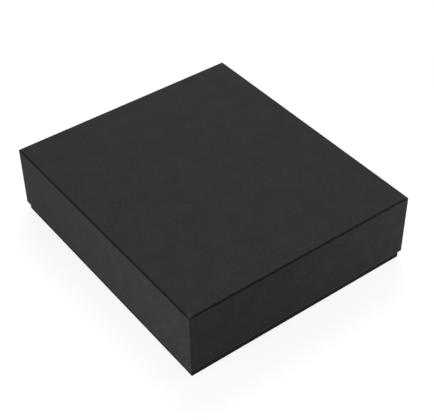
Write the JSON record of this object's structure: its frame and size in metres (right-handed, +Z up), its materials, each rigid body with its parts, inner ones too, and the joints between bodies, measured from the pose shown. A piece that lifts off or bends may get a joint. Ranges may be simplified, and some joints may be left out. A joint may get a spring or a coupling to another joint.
{
  "type": "gift box",
  "caption": "Rigid rectangular gift box with a deep lift-off lid that telescopes over a base tray, covered in matte black paper.",
  "frame": {"origin": "middle of the underside, on the surface that the box stands on", "axes": "+Z up, the way the lid lifts off; X along the short side, Y along the long side"},
  "size_m": [0.22, 0.25, 0.067],
  "materials": {
    "black_wrap_paper": "matte",
    "black_lining_paper": "matte",
    "grey_board": "matte",
    "stay_paper": "matte"
  },
  "bodies": {
    "base": {"base_board": "grey_board", "base_wrap": "black_wrap_paper", "base_liner": "black_lining_paper", "base_stay_front_left": "stay_paper", "base_stay_front_right": "stay_paper", "base_stay_back_left": "stay_paper", "base_stay_back_right": "stay_paper"},
    "lid": {"lid_board": "grey_board", "lid_wrap": "black_wrap_paper", "lid_liner": "black_lining_paper", "lid_stay_front_left": "stay_paper", "lid_stay_front_right": "stay_paper", "lid_stay_back_left": "stay_paper", "lid_stay_back_right": "stay_paper"}
  },
  "joints": [
    {"name": "lid_lift", "type": "slide", "parent": "base", "child": "lid", "axis": [0, 0, 1], "range_m": [0, 0.15]}
  ]
}
